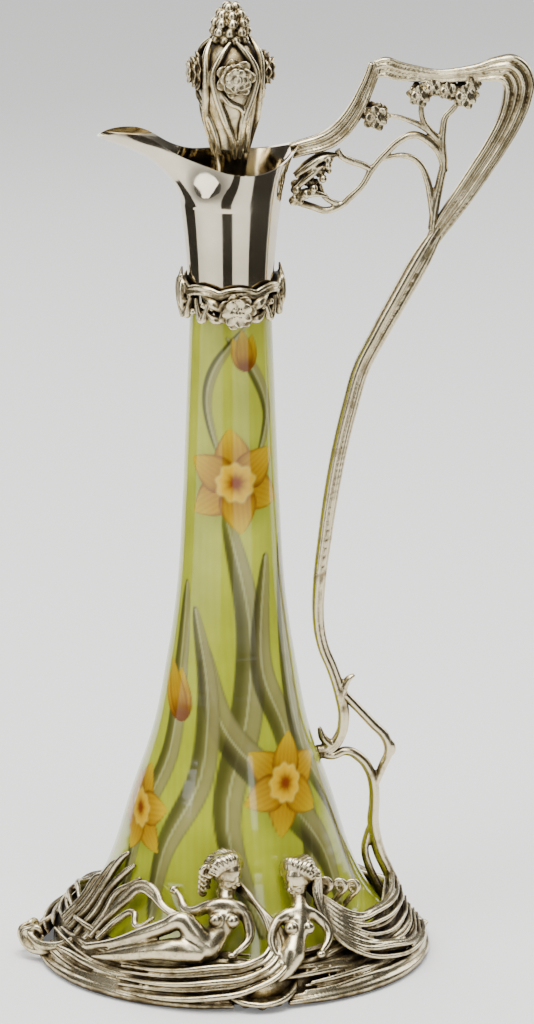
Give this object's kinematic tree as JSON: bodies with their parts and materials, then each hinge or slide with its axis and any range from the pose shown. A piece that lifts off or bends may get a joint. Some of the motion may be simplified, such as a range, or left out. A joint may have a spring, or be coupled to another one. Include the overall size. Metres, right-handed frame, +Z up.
{
  "type": "wine pitcher",
  "caption": "Tall tapering porcelain wine pitcher in a cast silver-plated foot, with a long openwork handle, a pouring spout and a lift-out corked stopper.",
  "frame": {"origin": "centre of the foot on the surface it stands on", "axes": "+Z up, spout towards -X, handle towards +X, front shell towards -Y"},
  "size_m": [0.2132, 0.1728, 0.4],
  "materials": {
    "painted_porcelain": "glossy glaze over painted flowers",
    "cast_silver_plate": "cast and antiqued silver plate",
    "polished_silver_plate": "polished silver plate",
    "plaster_cement": "matt plaster cement",
    "base_sheet": "silver-washed sheet",
    "steel_fasteners": "plain",
    "green_felt": "felt",
    "cork": "natural cork"
  },
  "bodies": {
    "jug": {"porcelain_body": "painted_porcelain", "foot_casting": "cast_silver_plate", "foot_cement": "plaster_cement", "base_plate": "base_sheet", "base_screws": "steel_fasteners", "base_felt": "green_felt", "neck_sleeve": "polished_silver_plate", "pouring_mouth": "polished_silver_plate", "neck_cement": "plaster_cement", "neck_garland": "cast_silver_plate", "garland_flower": "cast_silver_plate", "handle_rails": "cast_silver_plate", "handle_stem": "cast_silver_plate", "handle_leg": "cast_silver_plate", "handle_twigs": "cast_silver_plate", "handle_blossoms": "cast_silver_plate", "handle_spray": "cast_silver_plate", "waves_front_left": "cast_silver_plate", "waves_front_right": "cast_silver_plate", "waves_back_right": "cast_silver_plate", "waves_back_left": "cast_silver_plate", "foot_scroll_left": "cast_silver_plate", "foot_leaf_right": "cast_silver_plate", "foot_shell_front": "cast_silver_plate", "foot_shell_back": "cast_silver_plate", "nymph_left": "cast_silver_plate", "nymph_left_hair": "cast_silver_plate", "nymph_right": "cast_silver_plate", "nymph_right_hair": "cast_silver_plate", "rising_strands": "cast_silver_plate"},
    "stopper": {"stopper_stem": "polished_silver_plate", "stopper_bud": "cast_silver_plate", "stopper_tendrils": "cast_silver_plate", "stopper_rosettes": "cast_silver_plate", "stopper_berries": "cast_silver_plate", "stopper_cork": "cork", "stopper_rod": "steel_fasteners", "stopper_washer": "steel_fasteners", "stopper_nut": "steel_fasteners"}
  },
  "joints": [
    {"name": "stopper_lift", "type": "slide", "parent": "jug", "child": "stopper", "axis": [0, 0, 1], "range_m": [0, 0.1]}
  ]
}
